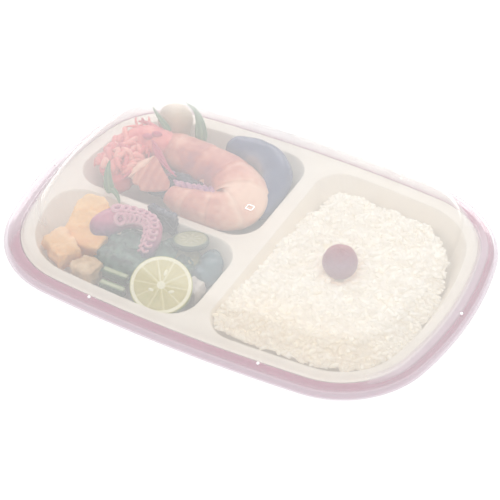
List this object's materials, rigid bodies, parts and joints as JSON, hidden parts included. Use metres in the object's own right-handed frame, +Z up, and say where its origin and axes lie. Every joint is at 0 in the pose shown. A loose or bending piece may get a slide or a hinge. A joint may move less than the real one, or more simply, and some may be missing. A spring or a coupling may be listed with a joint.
{
  "type": "lunch box",
  "caption": "Shallow oblong lunch box with a clear domed lid that lifts off and a lift-out inner tray holding rice with a pickled plum, prawn, octopus, omelette, vegetables and citrus.",
  "frame": {"origin": "centre of the base, on the surface that the box stands on", "axes": "+X along the box towards the rice pocket, +Y across it towards the prawn pocket, +Z up"},
  "size_m": [0.2482, 0.1738, 0.0421],
  "materials": {
    "maroon_plastic": "gloss",
    "ivory_plastic": "satin",
    "clear_plastic": "gloss",
    "rice": "satin",
    "pickled_plum": "satin",
    "prawn_meat": "satin",
    "prawn_shell": "satin",
    "kelp": "satin",
    "taro": "satin",
    "green_leaf": "satin",
    "aubergine": "gloss",
    "omelette": "satin",
    "simmered_tofu": "matte",
    "octopus": "satin",
    "wakame": "gloss",
    "cucumber": "satin",
    "fish_cake": "satin",
    "green_bean": "satin",
    "citrus": "satin"
  },
  "bodies": {
    "outer_tray": {"outer_tray": "maroon_plastic"},
    "inner_tray": {"inner_tray": "ivory_plastic", "rice_bed": "rice", "umeboshi": "pickled_plum", "prawn_body": "prawn_meat", "prawn_head": "prawn_shell", "prawn_legs": "prawn_shell", "prawn_tail": "prawn_meat", "kelp_roll": "kelp", "taro": "taro", "snow_pea_left": "green_leaf", "snow_pea_right": "green_leaf", "aubergine_slice": "aubergine", "bamboo_leaf": "green_leaf", "omelette_back": "omelette", "omelette_front": "omelette", "simmered_tofu": "simmered_tofu", "octopus_arm": "octopus", "kelp_sheet": "kelp", "wakame": "wakame", "cucumber_back": "cucumber", "cucumber_front": "cucumber", "aubergine_small": "aubergine", "fish_cake": "fish_cake", "bean_back": "green_bean", "bean_front": "green_bean", "citrus_slice": "citrus"},
    "lid": {"lid": "clear_plastic"}
  },
  "joints": [
    {"name": "inner_tray_lift", "type": "slide", "parent": "outer_tray", "child": "inner_tray", "axis": [0, 0, 1], "range_m": [0, 0.05]},
    {"name": "lid_lift", "type": "slide", "parent": "inner_tray", "child": "lid", "axis": [0, 0, 1], "range_m": [0, 0.07]}
  ]
}
